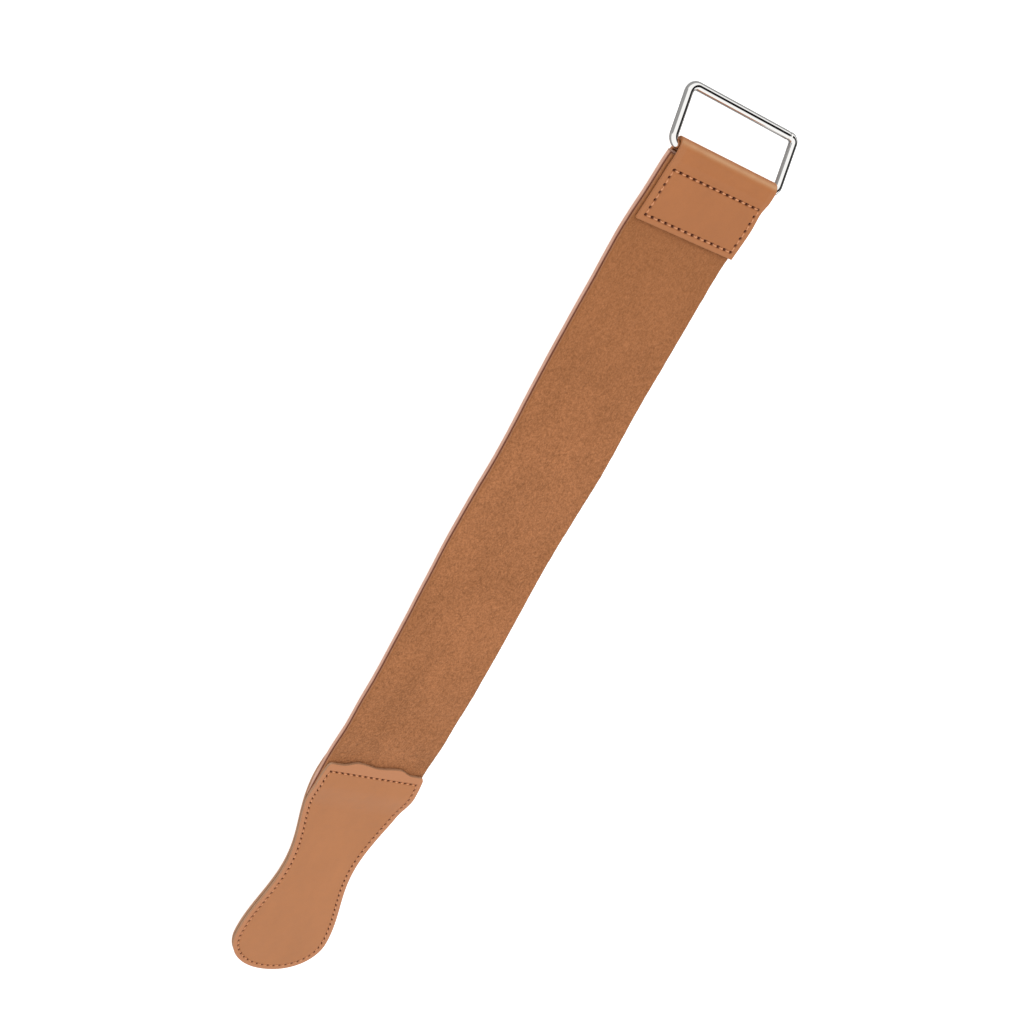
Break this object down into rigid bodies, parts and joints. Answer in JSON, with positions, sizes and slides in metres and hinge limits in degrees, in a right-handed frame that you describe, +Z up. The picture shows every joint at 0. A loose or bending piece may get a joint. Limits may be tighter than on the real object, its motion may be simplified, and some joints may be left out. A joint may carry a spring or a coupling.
{
  "type": "leather strop",
  "caption": "Two-strap leather strop with a suede face, a smooth face, a stitched paddle handle and a swinging wire hanging ring.",
  "frame": {"origin": "middle of the bounding box, on the surface that the strop lies on", "axes": "+X across the straps, +Y along them from the handle to the ring, +Z up out of the suede face"},
  "size_m": [0.0584, 0.4544, 0.0134],
  "materials": {
    "suede": "brushed suede nap",
    "strap_leather": "smooth grain leather with raw cut edges",
    "hanger_leather": "smooth satin leather",
    "handle_leather": "smooth satin leather",
    "thread": "waxed tan thread, pulled into dark needle holes",
    "ring_metal": "polished nickel plating"
  },
  "bodies": {
    "strop": {"front_strap": "suede", "back_strap": "strap_leather", "hanger_leather": "hanger_leather", "handle_front_cover": "handle_leather", "handle_back_cover": "handle_leather", "hanger_front_thread": "thread", "hanger_back_thread": "thread", "handle_front_thread": "thread", "handle_back_thread": "thread"},
    "ring": {"hanger_ring": "ring_metal"}
  },
  "joints": [
    {"name": "ring_swing", "type": "hinge", "parent": "strop", "child": "ring", "pos_m": [-0.00018, 0.2036, 0.00957], "axis": [0.9999, -0.0157, 0], "range_deg": [-132, 190]}
  ]
}
